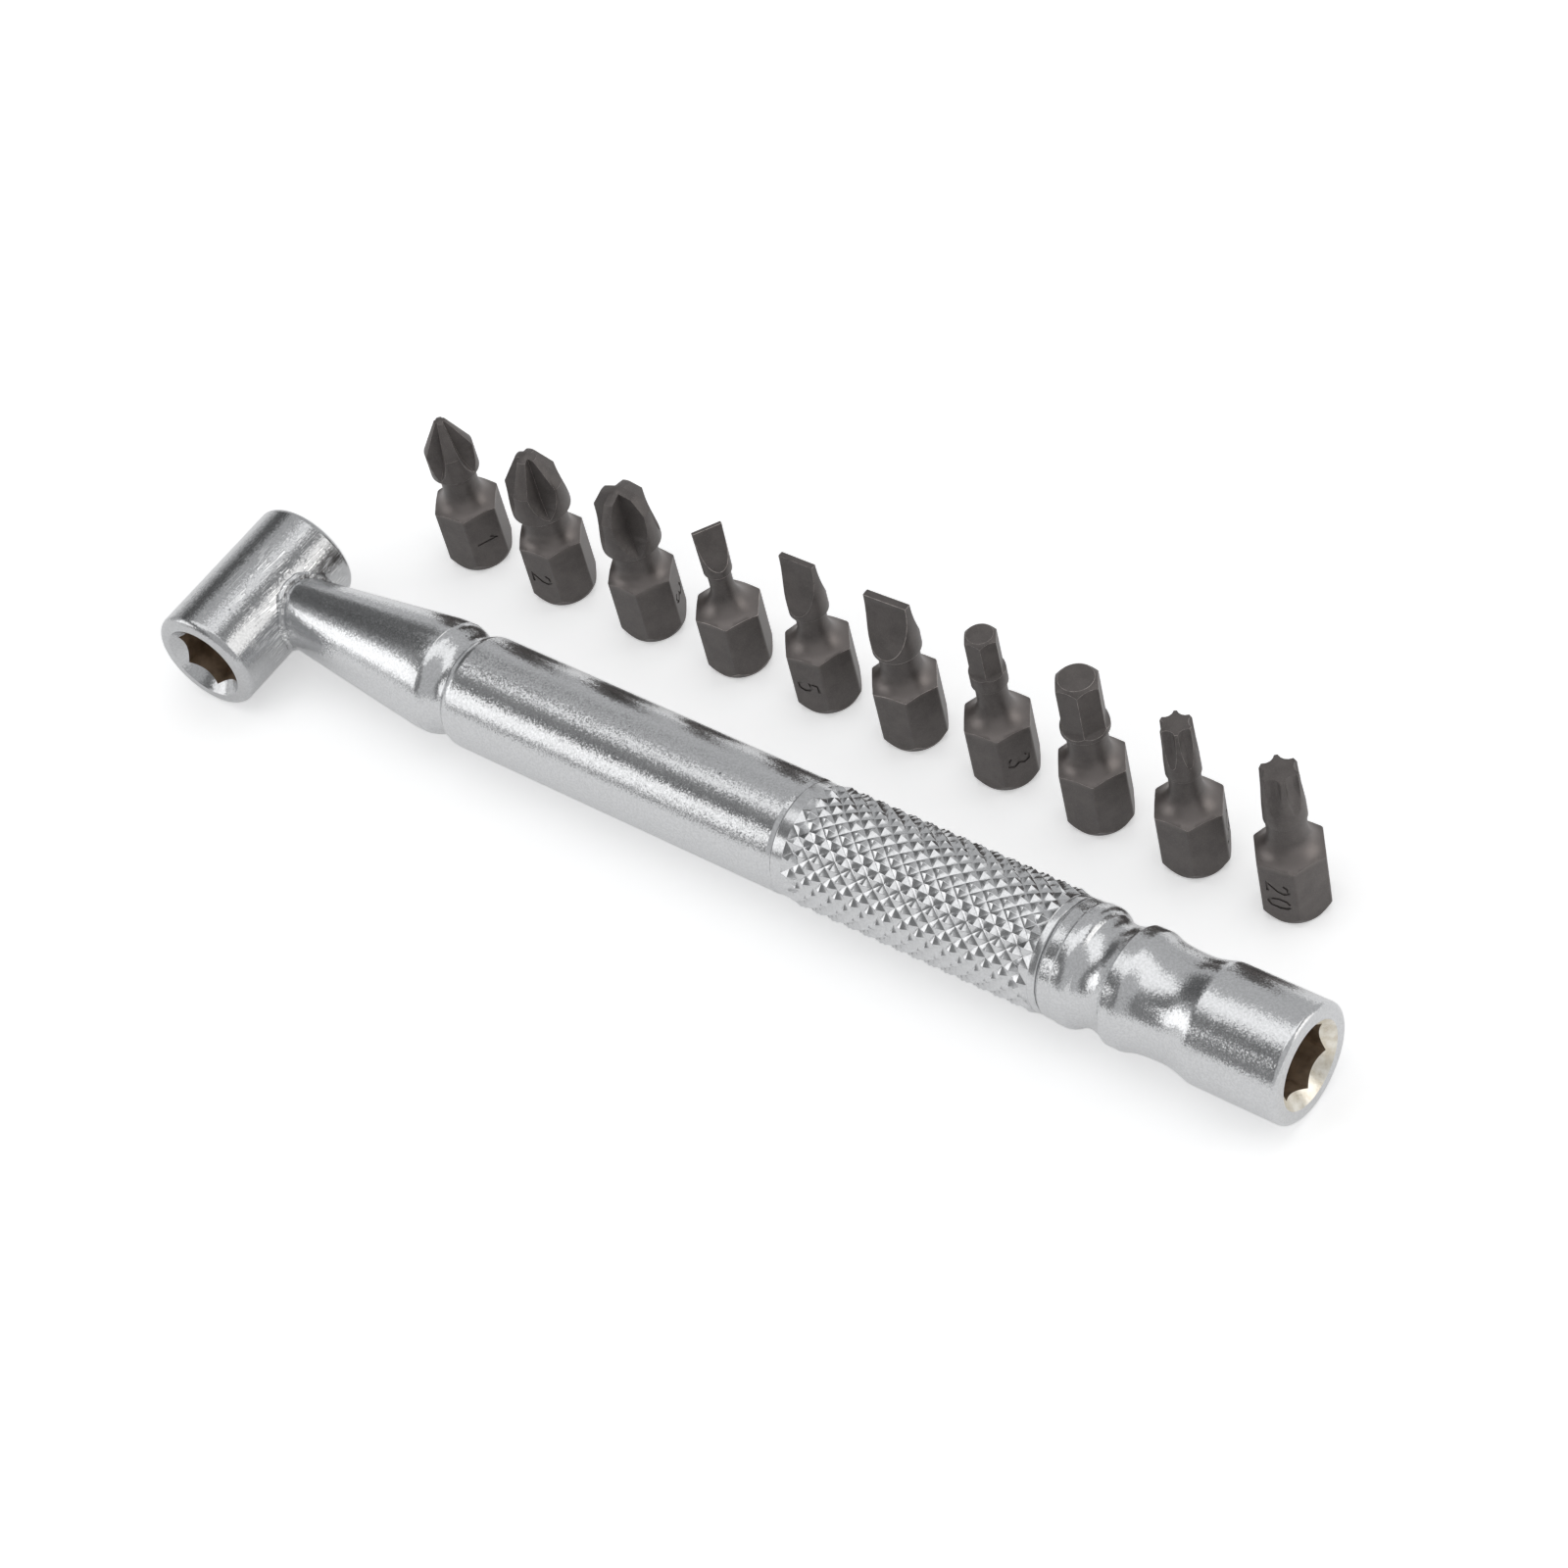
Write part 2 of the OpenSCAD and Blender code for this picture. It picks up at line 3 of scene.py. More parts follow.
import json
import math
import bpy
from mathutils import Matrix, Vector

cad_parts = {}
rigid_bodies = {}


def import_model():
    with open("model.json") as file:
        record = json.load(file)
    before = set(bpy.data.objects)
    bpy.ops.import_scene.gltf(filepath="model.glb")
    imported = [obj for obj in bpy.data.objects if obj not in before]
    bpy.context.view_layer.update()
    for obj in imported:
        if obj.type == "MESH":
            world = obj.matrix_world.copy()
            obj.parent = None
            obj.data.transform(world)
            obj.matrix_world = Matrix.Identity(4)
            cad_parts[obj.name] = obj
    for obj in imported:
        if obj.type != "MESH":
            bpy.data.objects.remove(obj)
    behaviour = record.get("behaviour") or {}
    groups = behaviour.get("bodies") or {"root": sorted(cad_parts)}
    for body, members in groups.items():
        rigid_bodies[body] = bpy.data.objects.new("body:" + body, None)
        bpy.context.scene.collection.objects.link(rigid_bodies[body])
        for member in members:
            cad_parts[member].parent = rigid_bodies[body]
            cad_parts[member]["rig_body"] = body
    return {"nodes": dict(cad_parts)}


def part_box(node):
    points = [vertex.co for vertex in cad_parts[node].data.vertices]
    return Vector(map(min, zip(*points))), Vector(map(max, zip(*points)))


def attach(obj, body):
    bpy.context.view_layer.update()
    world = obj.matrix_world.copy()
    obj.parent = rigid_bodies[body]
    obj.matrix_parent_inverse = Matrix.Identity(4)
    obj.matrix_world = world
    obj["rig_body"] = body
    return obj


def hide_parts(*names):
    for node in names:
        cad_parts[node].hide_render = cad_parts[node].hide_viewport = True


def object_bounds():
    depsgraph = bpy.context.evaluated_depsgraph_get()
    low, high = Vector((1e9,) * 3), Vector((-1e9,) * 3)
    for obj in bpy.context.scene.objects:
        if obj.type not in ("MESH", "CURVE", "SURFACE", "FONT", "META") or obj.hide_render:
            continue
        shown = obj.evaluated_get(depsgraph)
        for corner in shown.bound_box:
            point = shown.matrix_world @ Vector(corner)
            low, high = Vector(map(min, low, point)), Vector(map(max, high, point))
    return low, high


bl_info = {
    "name": "Offset screwdriver with bits",
    "version": (1, 0, 0),
    "blender": (4, 5, 0),
    "location": "3D View > Sidebar > Driver",
    "description": "Builds the finish of an offset screwdriver, its bits and a studio",
    "category": "Object",
}

import bmesh
import bpy
from bpy.props import FloatProperty, FloatVectorProperty, PointerProperty
from mathutils import Matrix, Vector

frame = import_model()
CAD_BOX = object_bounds()

MM = 0.001

# Handle axis and nose mouth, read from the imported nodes
GRIP_LOW, GRIP_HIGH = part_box("grip_sleeve")
_, NOSE_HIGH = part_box("nose_socket")
AXIS_Y = (GRIP_LOW.y + GRIP_HIGH.y) / 2
AXIS_Z = (GRIP_LOW.z + GRIP_HIGH.z) / 2

# Cross tube: where its axis crosses the handle's, its lean from square and its mouth's distance
TUBE_X = -60.0229 * MM
TUBE_LEAN = math.radians(2.8)
TUBE_NEAR = 10.6 * MM
CROSS_OUT = Vector((math.sin(TUBE_LEAN), -math.cos(TUBE_LEAN), 0))

# Material slots of a socket's walls and of its mouth's chamfer
BORE_SLOT = 1
CHAMFER_SLOT = 2

# Middle of each socket's mouth and the way it opens
BORES = {
    "nose_socket": (Vector((NOSE_HIGH.x, AXIS_Y, AXIS_Z)), Vector((1, 0, 0))),
    "cross_socket": (Vector((TUBE_X, AXIS_Y, AXIS_Z)) + CROSS_OUT * TUBE_NEAR, CROSS_OUT),
}

# A point on the axis of each turned piece, and that axis
TURNED = {**BORES, "handle_bar": BORES["nose_socket"]}

# How far a socket's walls lie from its axis and go in, and the rim of faces left as they are
BORE_REACH = 4.3 * MM
BORE_DEPTH = 17 * MM
BORE_RIM = 0.02 * MM

# Largest cosine between a wall's normal and the socket's axis, and the depth that no chamfer has
WALL_LEAN = 0.1
CHAMFER_DEPTH = 5 * MM

# Cone of the mouths, a hair over the one in the mesh, from its root inside the flats
MOUTH_RADIUS = 4.38 * MM
MOUTH_ROOT = 3.136 * MM
MOUTH_OVER = 0.3 * MM
MOUTH_STEPS = 120

# Where the neck's top meets the tube, in the middle of the weld
WELD_AHEAD = 6 * MM
WELD_ABOVE = 2 * MM
WELD_SPOT = Vector((TUBE_X + WELD_AHEAD, AXIS_Y, AXIS_Z + WELD_ABOVE))

# Edges that stay smooth up to these angles, in degrees
BODY_SMOOTH = 14
RING_SMOOTH = 18
KNURL_SMOOTH = 12
BIT_SMOOTH = 22

# Edges that are broken from these angles on, in degrees, and the width of the knurl's
KNURL_SHARP = 25
BIT_SHARP = 24
KNURL_BLUNT = 0.05 * MM

# Tops of a shank's flats and of its upright edges, and the middle of its stamp
FLAT_TOP = 7 * MM
UPRIGHT_TOP = 8 * MM
STAMP_MIDDLE = 3.9 * MM

# Upright edges: least length, share of it that is height, and least turn in radians
UPRIGHT_LENGTH = 1 * MM
UPRIGHT_SHARE = 0.99
UPRIGHT_TURN = 1

# An upright flat's largest lean, and how near it has to face to a direction, as cosines
FLAT_LEAN = 0.01
FLAT_NEAR = 0.87

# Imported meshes: distance at which corners are joined, and degrees that still count as flat
JOINED = 0.0005 * MM
FLAT_DEGREES = 0.3

# Turned pieces: height of a ring along the axis, and least cosine of a face that looks outward
RING_HEIGHT = 0.005 * MM
OUTWARD_LOOK = 0.2

# Share of a mesh's faces that it has to keep through a modifier
FACES_KEPT = 0.9

BIT_NODES = [
    "cross_bit_small", "cross_bit_medium", "cross_bit_large",
    "slot_bit_small", "slot_bit_medium", "slot_bit_large",
    "hex_bit_small", "hex_bit_large", "star_bit_small", "star_bit_large",
]

# Plain number stamped on some of the bits, and the compass direction of the flat that bears it
STAMPS = {
    "cross_bit_small": ("1", -25),
    "cross_bit_medium": ("2", -85),
    "cross_bit_large": ("3", 35),
    "slot_bit_medium": ("5", -85),
    "hex_bit_small": ("3", -25),
    "star_bit_small": ("15", 35),
    "star_bit_large": ("20", -85),
}

# Width of a digit and gap between two, as shares of their height
DIGIT_WIDTH = 0.62
DIGIT_GAP = 0.3

# Least cosine that a stroke's mitre is divided by, which keeps tight bends from spiking
LEAST_MITRE = 0.6

# Single strokes of the digits, in a box one wide and one high
DIGITS = {
    "0": [(0.42, 1), (0.16, 0.86), (0.05, 0.5), (0.18, 0.12), (0.5, 0), (0.82, 0.12), (0.95, 0.5),
          (0.86, 0.84), (0.66, 0.98)],
    "1": [(0.2, 0.72), (0.55, 1), (0.55, 0)],
    "2": [(0.08, 0.76), (0.26, 0.97), (0.66, 1), (0.9, 0.76), (0.78, 0.5), (0.1, 0.02),
          (0.95, 0.02)],
    "3": [(0.08, 0.84), (0.34, 1), (0.72, 0.97), (0.88, 0.76), (0.7, 0.57), (0.36, 0.53),
          (0.74, 0.47), (0.93, 0.26), (0.72, 0.03), (0.34, 0), (0.06, 0.16)],
    "5": [(0.88, 1), (0.2, 0.98), (0.14, 0.56), (0.5, 0.62), (0.84, 0.48), (0.92, 0.26),
          (0.7, 0.03), (0.34, 0), (0.06, 0.14)],
}


class ChromeSettings(bpy.types.PropertyGroup):
    """Finish of the plated driver"""

    tint: FloatVectorProperty(
        name="Tint", description="Colour of the plating", subtype="COLOR",
        size=3, min=0, max=1, default=(0.62, 0.624, 0.632),
    )
    roughness: FloatProperty(
        name="Roughness", description="Blur of the plating's reflections",
        subtype="FACTOR", min=0, max=1, default=0.19,
    )
    grain: FloatProperty(
        name="Grain", description="Width of one grain of the satin plating",
        subtype="DISTANCE", unit="LENGTH", default=0.15 * MM, precision=5,
    )
    grain_depth: FloatProperty(
        name="Grain depth", description="Height of the satin grain",
        subtype="DISTANCE", unit="LENGTH", default=0.005 * MM, precision=6,
    )
    facet: FloatProperty(
        name="Facet", description="Width of one sparkling facet of the plating",
        subtype="DISTANCE", unit="LENGTH", default=0.12 * MM, precision=5,
    )
    facet_tilt: FloatProperty(
        name="Facet tilt", description="Largest lean of a facet, as a slope",
        min=0, max=0.5, default=0.05,
    )
    pit_spacing: FloatProperty(
        name="Pit spacing", description="Distance between the cells that may hold a pit",
        subtype="DISTANCE", unit="LENGTH", default=3.2 * MM, precision=5,
    )
    tube_shade: FloatProperty(
        name="Tube shade", description="Share of the tint left on the duller cross tube",
        subtype="FACTOR", min=0, max=1, default=0.84,
    )
    scratch_reach: FloatProperty(
        name="Scratch reach", description="How far the file marks spread from the weld",
        subtype="DISTANCE", unit="LENGTH", default=9 * MM, precision=5,
    )


class BitSettings(bpy.types.PropertyGroup):
    """Finish of the dark bits"""

    tint: FloatVectorProperty(
        name="Tint", description="Colour of the dark steel", subtype="COLOR",
        size=3, min=0, max=1, default=(0.121, 0.109, 0.104),
    )
    roughness: FloatProperty(
        name="Roughness", description="Blur of the dark steel's reflections",
        subtype="FACTOR", min=0, max=1, default=0.46,
    )
    edge: FloatProperty(
        name="Edge", description="Width of the worn edges",
        subtype="DISTANCE", unit="LENGTH", default=0.07 * MM, precision=5,
    )
    corner: FloatProperty(
        name="Corner", description="Rounding of the shanks' upright edges",
        subtype="DISTANCE", unit="LENGTH", default=0.2 * MM, precision=5,
    )
    stamp_depth: FloatProperty(
        name="Stamp depth", description="Depth of the stamped numbers",
        subtype="DISTANCE", unit="LENGTH", default=0.12 * MM, precision=5,
    )
    stamp_height: FloatProperty(
        name="Stamp height", description="Height of the stamped numbers",
        subtype="DISTANCE", unit="LENGTH", default=2.2 * MM, precision=5,
    )
    stamp_stroke: FloatProperty(
        name="Stamp stroke", description="Width of the stamped strokes",
        subtype="DISTANCE", unit="LENGTH", default=0.28 * MM, precision=5,
    )


class StudioSettings(bpy.types.PropertyGroup):
    """Camera, floor and lamps"""

    lens: FloatProperty(
        name="Lens", description="Focal length of the camera in millimetres",
        default=91.98, min=20, max=300,
    )
    floor_size: FloatProperty(
        name="Floor size", description="Side of the floor", subtype="DISTANCE",
        unit="LENGTH", default=6,
    )
    lamp_distance: FloatProperty(
        name="Lamp distance", description="Distance of the soft lamps",
        subtype="DISTANCE", unit="LENGTH", default=2,
    )


class ShaderTree:
    """A material's or world's node tree, with short ways to add and join nodes."""

    def __init__(self, tree):
        self.tree = tree
        tree.nodes.clear()

    def node(self, kind, inputs=None, **values):
        made = self.tree.nodes.new(kind)
        for key, value in values.items():
            setattr(made, key, value)
        for key, value in (inputs or {}).items():
            self.feed(made.inputs[key], value)
        return made

    def feed(self, socket, value):
        if isinstance(value, bpy.types.NodeSocket):
            self.tree.links.new(value, socket)
        else:
            socket.default_value = value

    def math(self, operation, first, second):
        return self.node(
            "ShaderNodeMath", {0: first, 1: second}, operation=operation
        ).outputs[0]

    def between(self, value, low, high, out_low=0.0, out_high=1.0):
        """Carries value from the span low to high over to another span, eased and clamped."""
        inputs = {"Value": value, "From Min": low, "From Max": high}
        inputs.update({"To Min": out_low, "To Max": out_high})
        return self.node(
            "ShaderNodeMapRange", inputs, interpolation_type="SMOOTHSTEP"
        ).outputs["Result"]

    def noise(self, vector, feature, detail=2.0, roughness=0.5):
        """Noise whose blotches are about as wide as feature."""
        return self.node(
            "ShaderNodeTexNoise",
            {"Vector": vector, "Scale": 1 / feature, "Detail": detail, "Roughness": roughness},
        ).outputs["Fac"]

    def scaled(self, vector, scale):
        return self.node(
            "ShaderNodeVectorMath", {0: vector, 1: scale}, operation="MULTIPLY"
        ).outputs[0]

    def mix_colour(self, factor, first, second):
        mix = self.node("ShaderNodeMix", data_type="RGBA")
        self.feed(mix.inputs["Factor"], factor)
        self.feed(mix.inputs["A"], first)
        self.feed(mix.inputs["B"], second)
        return mix.outputs["Result"]

    def facets(self, vector, feature, tilt):
        """Surface normal that each small cell tips its own way, by about tilt at most."""
        cells = self.node("ShaderNodeTexVoronoi", {"Vector": vector, "Scale": 1 / feature})
        spread = self.node(
            "ShaderNodeVectorMath", {0: cells.outputs["Color"], 1: (0.5, 0.5, 0.5)},
            operation="SUBTRACT",
        ).outputs[0]
        surface = self.node("ShaderNodeNewGeometry").outputs["Normal"]
        tipped = self.node("ShaderNodeVectorMath", {
            0: self.scaled(spread, (2 * tilt, 2 * tilt, 2 * tilt)), 1: surface,
        }, operation="ADD").outputs[0]
        return self.node(
            "ShaderNodeVectorMath", {0: tipped}, operation="NORMALIZE"
        ).outputs[0]

    def bump(self, height, distance, normal=None):
        inputs = {"Height": height, "Distance": distance, "Strength": 1.0}
        if normal is not None:
            inputs["Normal"] = normal
        return self.node("ShaderNodeBump", inputs).outputs["Normal"]


def new_material(name):
    material = bpy.data.materials.new(name)
    material.use_nodes = True
    return material, ShaderTree(material.node_tree)


def rgba(colour, level=1.0):
    return (colour[0] * level, colour[1] * level, colour[2] * level, 1.0)


# Plating: widths of its smudges, specks, slow waves and turned lines, and heights of its marks
SMUDGE = 5 * MM
SPECK = 0.24 * MM
WAVE = 2.5 * MM
WAVE_HEIGHT = 0.003 * MM
TURNED_LINE = 0.12 * MM
TURNED_HEIGHT = 0.0008 * MM
TURNED_STRETCH = (1, 0.02, 0.02)
MARK_HEIGHT = 0.03 * MM

# What the smudges add to the roughness, and the darkest and palest of the specks
SMUDGE_DULL = 0.09
SPECK_TINTS = (0.94, 1.05)

# Pits: which cells hold one, where its edge lies in the cell, and its tint
PIT_CELLS = (0.62, 0.66)
PIT_EDGE = (0.02, 0.05)
PIT_TINT = 0.35


def chrome_material(settings, name, grain_share=1.0, filed=False):
    """Satin plating: sparkling facets, cloudy smudges, pits, turned lines and file marks."""
    material, tree = new_material(name)
    tint = settings.tint * (settings.tube_shade if filed else 1)
    place = tree.node("ShaderNodeTexCoord").outputs["Object"]
    smudge = tree.noise(place, SMUDGE, 3, 0.6)
    specks = tree.noise(place, SPECK, 2, 0.6)
    dull = tree.math(
        "ADD", tree.math("MULTIPLY", smudge, SMUDGE_DULL), settings.roughness - SMUDGE_DULL / 2
    )
    dark, pale = SPECK_TINTS
    colour = tree.mix_colour(
        tree.between(specks, 0.35, 0.65), rgba(tint, dark), rgba(tint, pale)
    )
    cells = tree.node("ShaderNodeTexVoronoi", {"Vector": place, "Scale": 1 / settings.pit_spacing})
    rare = tree.between(cells.outputs["Color"], *PIT_CELLS)
    pit = tree.math("MULTIPLY", tree.between(cells.outputs["Distance"], *PIT_EDGE, 1, 0), rare)
    colour = tree.mix_colour(pit, colour, rgba(tint, PIT_TINT))
    marks = tree.math("MULTIPLY", pit, -1.0)
    if filed:
        colour, scratch = weld_scratches(tree, place, colour, settings)
        marks = tree.math("SUBTRACT", scratch, pit)
    grain = tree.noise(place, settings.grain, 2, 0.6)
    waves = tree.noise(place, WAVE, 1, 0.5)
    turned = tree.noise(tree.scaled(place, TURNED_STRETCH), TURNED_LINE, 1, 0.5)
    normal = tree.facets(place, settings.facet, settings.facet_tilt * grain_share)
    normal = tree.bump(waves, WAVE_HEIGHT, normal)
    normal = tree.bump(turned, TURNED_HEIGHT, normal)
    normal = tree.bump(grain, settings.grain_depth * grain_share, normal)
    normal = tree.bump(marks, MARK_HEIGHT, normal)
    shader = tree.node("ShaderNodeBsdfPrincipled", {
        "Base Color": colour, "Metallic": 1.0, "Roughness": dull, "Normal": normal,
    })
    tree.node("ShaderNodeOutputMaterial", {"Surface": shader.outputs[0]})
    return material


# File marks: where they are thickest, width of their patches, and their width and runs
SCRATCH_NEAR = 3 * MM
SCRATCH_PATCH = 2.2 * MM
SCRATCH_WIDTH = 0.15 * MM
SCRATCH_RUNS = ((1, 0.04, 1), (0.3, 0.06, 1))

# Spans of the noise in which a patch and a mark begin, and the marks' tint
PATCH_SPAN = (0.42, 0.52)
SCRATCH_SPAN = (0.58, 0.63)
SCRATCH_TINT = (0.93, 0.93, 0.93, 1)


def weld_scratches(tree, place, colour, settings):
    """Pale file marks that run along the tube, thick near the weld and gone away from it."""
    away = tree.node(
        "ShaderNodeVectorMath", {0: place, 1: WELD_SPOT}, operation="DISTANCE"
    ).outputs["Value"]
    near = tree.between(away, SCRATCH_NEAR, settings.scratch_reach, 1, 0)
    patch = tree.between(tree.noise(place, SCRATCH_PATCH, 2, 0.5), *PATCH_SPAN)
    marks = None
    for run in SCRATCH_RUNS:
        streak = tree.noise(tree.scaled(place, run), SCRATCH_WIDTH, 1, 0.4)
        streak = tree.between(streak, *SCRATCH_SPAN)
        marks = streak if marks is None else tree.math("MAXIMUM", marks, streak)
    marks = tree.math("MULTIPLY", marks, tree.math("MULTIPLY", near, patch))
    return tree.mix_colour(marks, colour, SCRATCH_TINT), marks


def stained_metal(name, stain, tints, spread, dull, metallic, bump):
    """Metal between two tints; stain, spread and dull give its clouds, bump its unevenness."""
    material, tree = new_material(name)
    place = tree.node("ShaderNodeTexCoord").outputs["Object"]
    cloud = tree.noise(place, *stain)
    colour = tree.mix_colour(tree.between(cloud, *spread), *tints)
    dullness = tree.math("ADD", tree.math("MULTIPLY", cloud, dull[0]), dull[1])
    rise, height = bump
    normal = tree.bump(tree.noise(place, *rise) if rise else cloud, height)
    shader = tree.node("ShaderNodeBsdfPrincipled", {
        "Base Color": colour, "Metallic": metallic, "Roughness": dullness, "Normal": normal,
    })
    tree.node("ShaderNodeOutputMaterial", {"Surface": shader.outputs[0]})
    return material


def socket_material():
    """Bare steel inside the hexagon sockets, browned where the plating is thin."""
    return stained_metal(
        "socket_bore_finish", stain=(2 * MM, 3, 0.6), spread=(0.3, 0.7),
        tints=((0.34, 0.26, 0.185, 1), (0.62, 0.5, 0.385, 1)),
        dull=(0.2, 0.32), metallic=0.9, bump=((0.2 * MM, 2, 0.5), 0.01 * MM),
    )


def chamfer_highlight_material():
    """Cream-toned bright metal on the chamfer of the nose's mouth, whose cream tone and brightness
    are a painted highlight.
    """
    return stained_metal(
        "mouth_chamfer_painted_highlight", stain=(1.2 * MM, 3, 0.6), spread=(0.3, 0.7),
        # Painted highlight: these pale cream tints stand in for the light that the chamfer catches
        tints=((0.64, 0.59, 0.49, 1), (0.86, 0.83, 0.76, 1)),
        dull=(0.2, 0.2), metallic=1.0, bump=((0.25 * MM, 2, 0.5), 0.012 * MM),
    )


def magnet_material():
    """Dull nickel of the magnets, scuffed by the bits' feet."""
    return stained_metal(
        "magnet_nickel_finish", stain=(0.6 * MM, 4, 0.65), spread=(0.35, 0.7),
        tints=((0.16, 0.14, 0.115, 1), (0.34, 0.32, 0.28, 1)),
        dull=(0.3, 0.3), metallic=1.0, bump=(None, 0.01 * MM),
    )


# Dark steel: widths of its clouds, specks and worn patches, and its roughened skin
BIT_CLOUD = 1.8 * MM
BIT_SPECK = 0.12 * MM
WORN_PATCH = 0.5 * MM
BIT_SKIN = 0.25 * MM
BIT_SKIN_HEIGHT = 0.012 * MM

# Band of turned shoulders above a bit's shank, from its rise to its fall, whose paler colour is a
# painted highlight
SHOULDER_RISE = (7 * MM, 8 * MM)
SHOULDER_FALL = (8.4 * MM, 9.8 * MM)

# Shares of the tint in the clouds, specks, the shoulders' painted highlight and worn edges, and
# that highlight's strength
CLOUD_TINTS = (0.86, 1.14)
SPECK_TINT = 1.5
SHOULDER_HIGHLIGHT_TINT = 1.9
SHOULDER_HIGHLIGHT_SHARE = 0.8
WORN_TINT = 4

# What the clouds add to the roughness and the shoulders take off, and the share of bare metal
CLOUD_DULL = 0.16
SHOULDER_SHINE = 0.04
BARE_METAL = 0.5
SHOULDER_METAL = 0.4


def bit_material(settings):
    """Dark phosphated steel, paler and smoother along the worn edges, with a painted highlight in
    the shoulders' colour.
    """
    material, tree = new_material("bit_steel_finish")
    place = tree.node("ShaderNodeTexCoord").outputs["Object"]
    cloud = tree.noise(place, BIT_CLOUD, 4, 0.6)
    speck = tree.noise(place, BIT_SPECK, 2, 0.6)
    rubbed = tree.between(tree.noise(place, WORN_PATCH), 0.35, 0.6, out_low=0.35)
    worn = tree.node("ShaderNodeAttribute", attribute_name="worn").outputs["Fac"]
    worn = tree.math("MULTIPLY", worn, rubbed)
    dark, pale = CLOUD_TINTS
    colour = tree.mix_colour(
        tree.between(cloud, 0.3, 0.7), rgba(settings.tint, dark), rgba(settings.tint, pale)
    )
    colour = tree.mix_colour(
        tree.between(speck, 0.45, 0.75, out_high=0.5), colour, rgba(settings.tint, SPECK_TINT)
    )
    height = tree.node("ShaderNodeSeparateXYZ", {0: place}).outputs["Z"]
    turned = tree.math(
        "MULTIPLY", tree.between(height, *SHOULDER_RISE), tree.between(height, *SHOULDER_FALL, 1, 0)
    )
    # Painted highlight: the shoulder band's colour is lifted towards a paler steel
    bright = tree.math("MULTIPLY", turned, SHOULDER_HIGHLIGHT_SHARE)
    colour = tree.mix_colour(bright, colour, rgba(settings.tint, SHOULDER_HIGHLIGHT_TINT))
    colour = tree.mix_colour(worn, colour, rgba(settings.tint, WORN_TINT))
    dull = tree.math(
        "ADD", tree.math("MULTIPLY", cloud, CLOUD_DULL), settings.roughness - CLOUD_DULL / 2
    )
    dull = tree.math("SUBTRACT", dull, tree.math("MULTIPLY", turned, SHOULDER_SHINE))
    metallic = tree.math("ADD", tree.math("MULTIPLY", turned, SHOULDER_METAL), BARE_METAL)
    normal = tree.bump(tree.noise(place, BIT_SKIN, 3, 0.6), BIT_SKIN_HEIGHT)
    shader = tree.node("ShaderNodeBsdfPrincipled", {
        "Base Color": colour, "Metallic": metallic, "Roughness": dull, "Normal": normal,
    })
    tree.node("ShaderNodeOutputMaterial", {"Surface": shader.outputs[0]})
    return material


def node_bmesh(node):
    """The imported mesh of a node, with its doubled corners joined."""
    bm = bmesh.new()
    bm.from_mesh(frame["nodes"][node].data)
    bmesh.ops.remove_doubles(bm, verts=bm.verts, dist=JOINED)
    bmesh.ops.dissolve_limit(
        bm, angle_limit=math.radians(FLAT_DEGREES), verts=bm.verts, edges=bm.edges,
    )
    return bm


def edge_turn(edge):
    """Angle between the two faces of an edge, or zero at a rim."""
    if len(edge.link_faces) != 2:
        return 0.0
    return edge.calc_face_angle(0.0)


def round_upright_edges(bm, width, highest):
    """Rounds the long upright edges of a hexagon, below a height."""
    upright = []
    for edge in bm.edges:
        foot, head = edge.verts
        run = head.co - foot.co
        straight = abs(run.z) > UPRIGHT_SHARE * run.length and run.length > UPRIGHT_LENGTH
        corner = edge_turn(edge) > UPRIGHT_TURN
        if straight and corner and max(foot.co.z, head.co.z) < highest:
            upright.append(edge)
    bmesh.ops.bevel(
        bm, geom=upright, offset=width, offset_type="OFFSET", segments=3,
        profile=0.5, affect="EDGES", clamp_overlap=True,
    )


def bevel_edges(bm, width, sharp_degrees):
    """Breaks the sharp edges and marks the narrow new faces as worn."""
    layer = bm.faces.layers.float.new("worn")
    sharp = [e for e in bm.edges if edge_turn(e) > math.radians(sharp_degrees)]
    made = bmesh.ops.bevel(
        bm, geom=sharp, offset=width, offset_type="OFFSET", segments=1,
        profile=0.5, affect="EDGES", clamp_overlap=True,
    )
    for face in made["faces"]:
        face[layer] = 1.0


def shade_by_area(piece, smooth_degrees):
    """Smooths all but the sharp edges, with normals that follow the larger faces."""
    piece.data.shade_smooth()
    piece.data.set_sharp_from_angle(angle=math.radians(smooth_degrees))
    piece.modifiers.new("area", "WEIGHTED_NORMAL").keep_sharp = True
    bake_modifiers(piece)


def shade_as_turned(piece, start, axis, crease_degrees):
    """Gives a turned surface its profile's normals, ring by ring, so that no facet shows."""
    mesh = piece.data
    crease = math.radians(crease_degrees)

    def ring_and_out(point):
        offset = point - start
        along = offset.dot(axis)
        return round(along / RING_HEIGHT), (offset - axis * along).normalized()

    rings, tilts = {}, {}
    for face in mesh.polygons:
        _, out = ring_and_out(face.center)
        if face.normal.dot(out) < OUTWARD_LOOK:
            continue
        tilts[face.index] = math.atan2(face.normal.dot(axis), face.normal.dot(out))
        for vertex in face.vertices:
            ring, _ = ring_and_out(mesh.vertices[vertex].co)
            rings.setdefault(ring, []).append((tilts[face.index], face.area))
    normals = [corner.vector.copy() for corner in mesh.corner_normals]
    for face in mesh.polygons:
        if face.index not in tilts:
            continue
        for loop in face.loop_indices:
            ring, out = ring_and_out(mesh.vertices[mesh.loops[loop].vertex_index].co)
            near = [row for row in rings[ring] if abs(row[0] - tilts[face.index]) < crease]
            tilt = sum(turn * area for turn, area in near) / sum(area for _, area in near)
            normals[loop] = out * math.cos(tilt) + axis * math.sin(tilt)
    mesh.normals_split_custom_set(normals)


